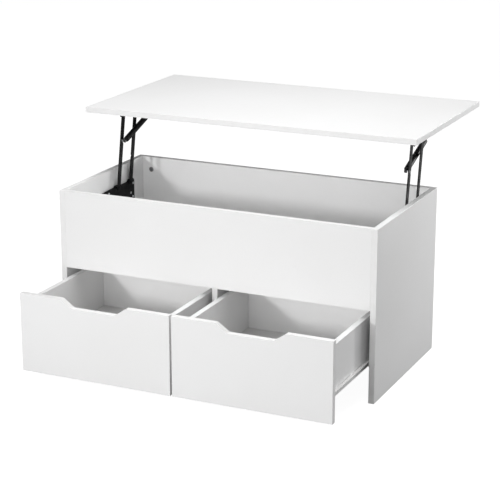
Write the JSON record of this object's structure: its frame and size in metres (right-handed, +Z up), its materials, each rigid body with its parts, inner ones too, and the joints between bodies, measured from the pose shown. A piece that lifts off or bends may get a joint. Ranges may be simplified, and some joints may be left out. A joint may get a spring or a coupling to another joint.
{
  "type": "lift top coffee table",
  "caption": "White board coffee table whose top rises on gas strut arms over a storage compartment, above side by side drawers with finger cut-outs.",
  "frame": {"origin": "on the floor, in the middle of the cabinet's footprint", "axes": "+X right along the table's length, +Y to the back, +Z up; the drawers face -Y"},
  "size_m": [1, 0.9995, 0.6736],
  "materials": {
    "white_board": "satin white melamine on particle board",
    "white_panel": "white lacquered fibreboard",
    "white_steel": "white epoxy coated steel",
    "black_steel": "satin black powder coat",
    "strut_black": "semi-gloss black paint",
    "strut_chrome": "ground and chromed",
    "zinc": "bright zinc plate",
    "cam_grey": "dark die-cast zinc",
    "nylon": "moulded nylon"
  },
  "bodies": {
    "cabinet": {"side_panel_left": "white_board", "side_panel_right": "white_board", "front_panel": "white_board", "back_panel": "white_board", "storage_floor": "white_board", "centre_divider": "white_board", "cam_lock_left": "cam_grey", "cam_lock_right": "cam_grey", "cabinet_left_outer_runner": "white_steel", "cabinet_left_inner_runner": "white_steel", "cabinet_right_inner_runner": "white_steel", "cabinet_right_outer_runner": "white_steel", "base_bracket_left": "black_steel", "base_bracket_right": "black_steel", "front_foot_rivet_left": "black_steel", "front_foot_rivet_right": "black_steel", "rear_foot_rivet_left": "black_steel", "rear_foot_rivet_right": "black_steel"},
    "rear_arms": {"rear_arm_left": "black_steel", "rear_arm_right": "black_steel"},
    "top": {"tabletop": "white_board", "top_bracket_left": "black_steel", "top_bracket_right": "black_steel", "front_head_rivet_left": "black_steel", "front_head_rivet_right": "black_steel", "rear_head_rivet_left": "black_steel", "rear_head_rivet_right": "black_steel", "strut_head_stud_left": "zinc", "strut_head_stud_right": "zinc"},
    "front_arms": {"front_arm_left": "black_steel", "front_arm_right": "black_steel", "strut_foot_stud_left": "zinc", "strut_foot_stud_right": "zinc"},
    "strut_tubes": {"strut_tube_left": "strut_black", "strut_tube_right": "strut_black"},
    "strut_rods": {"strut_rod_left": "strut_chrome", "strut_rod_right": "strut_chrome"},
    "drawer_left": {"drawer_left_front": "white_board", "drawer_left_outer_side": "white_board", "drawer_left_inner_side": "white_board", "drawer_left_back": "white_board", "drawer_left_bottom": "white_panel", "drawer_left_outer_runner": "white_steel", "drawer_left_inner_runner": "white_steel"},
    "drawer_left_wheels": {"drawer_left_outer_roller": "nylon", "drawer_left_inner_roller": "nylon"},
    "cabinet_left_wheels": {"cabinet_left_outer_roller": "nylon", "cabinet_left_inner_roller": "nylon"},
    "drawer_right": {"drawer_right_front": "white_board", "drawer_right_outer_side": "white_board", "drawer_right_inner_side": "white_board", "drawer_right_back": "white_board", "drawer_right_bottom": "white_panel", "drawer_right_outer_runner": "white_steel", "drawer_right_inner_runner": "white_steel"},
    "drawer_right_wheels": {"drawer_right_outer_roller": "nylon", "drawer_right_inner_roller": "nylon"},
    "cabinet_right_wheels": {"cabinet_right_outer_roller": "nylon", "cabinet_right_inner_roller": "nylon"}
  },
  "joints": [
    {"name": "lift", "type": "hinge", "parent": "cabinet", "child": "rear_arms", "pos_m": [0, 0.1285, 0.4205], "axis": [1, 0, 0], "range_deg": [0, 92.1]},
    {"name": "top_level", "type": "hinge", "parent": "rear_arms", "child": "top", "pos_m": [0, 0.166, 0.6292], "axis": [1, 0, 0], "range_deg": [-92.11, 0]},
    {"name": "front_arms_swing", "type": "hinge", "parent": "cabinet", "child": "front_arms", "pos_m": [0, 0.0503, 0.4205], "axis": [1, 0, 0], "range_deg": [0, 92.11]},
    {"name": "strut_tubes_swing", "type": "hinge", "parent": "front_arms", "child": "strut_tubes", "pos_m": [0, 0.07497, 0.5578], "axis": [1, 0, 0], "range_deg": [-102.21, 0]},
    {"name": "strut_rods_slide", "type": "slide", "parent": "strut_tubes", "child": "strut_rods", "axis": [0, 0.9447, 0.328], "range_m": [-0.09749, 0]},
    {"name": "drawer_left_slide", "type": "slide", "parent": "cabinet", "child": "drawer_left", "axis": [0, -1, 0], "range_m": [-0.2465, 0.0535]},
    {"name": "drawer_left_wheels_spin", "type": "hinge", "parent": "drawer_left", "child": "drawer_left_wheels", "pos_m": [-0.232, -0.08, 0.1074], "axis": [1, 0, 0], "continuous": true},
    {"name": "cabinet_left_wheels_spin", "type": "hinge", "parent": "cabinet", "child": "cabinet_left_wheels", "pos_m": [-0.232, -0.206, 0.1004], "axis": [1, 0, 0], "continuous": true},
    {"name": "drawer_right_slide", "type": "slide", "parent": "cabinet", "child": "drawer_right", "axis": [0, -1, 0], "range_m": [-0.2465, 0.0535]},
    {"name": "drawer_right_wheels_spin", "type": "hinge", "parent": "drawer_right", "child": "drawer_right_wheels", "pos_m": [0.232, -0.08, 0.1074], "axis": [1, 0, 0], "continuous": true},
    {"name": "cabinet_right_wheels_spin", "type": "hinge", "parent": "cabinet", "child": "cabinet_right_wheels", "pos_m": [0.232, -0.206, 0.1004], "axis": [1, 0, 0], "continuous": true}
  ],
  "couplings": [
    {"joint": "top_level", "follows": "lift", "ratio": -1},
    {"joint": "front_arms_swing", "follows": "lift", "ratio": 1},
    {"joint": "strut_tubes_swing", "follows": "lift", "ratio": -1.1095},
    {"joint": "strut_rods_slide", "follows": "lift", "m_per_rad": -0.060585},
    {"joint": "drawer_left_wheels_spin", "follows": "drawer_left_slide", "rad_per_m": -90.909},
    {"joint": "cabinet_left_wheels_spin", "follows": "drawer_left_slide", "rad_per_m": 90.909},
    {"joint": "drawer_right_wheels_spin", "follows": "drawer_right_slide", "rad_per_m": -90.909},
    {"joint": "cabinet_right_wheels_spin", "follows": "drawer_right_slide", "rad_per_m": 90.909}
  ]
}
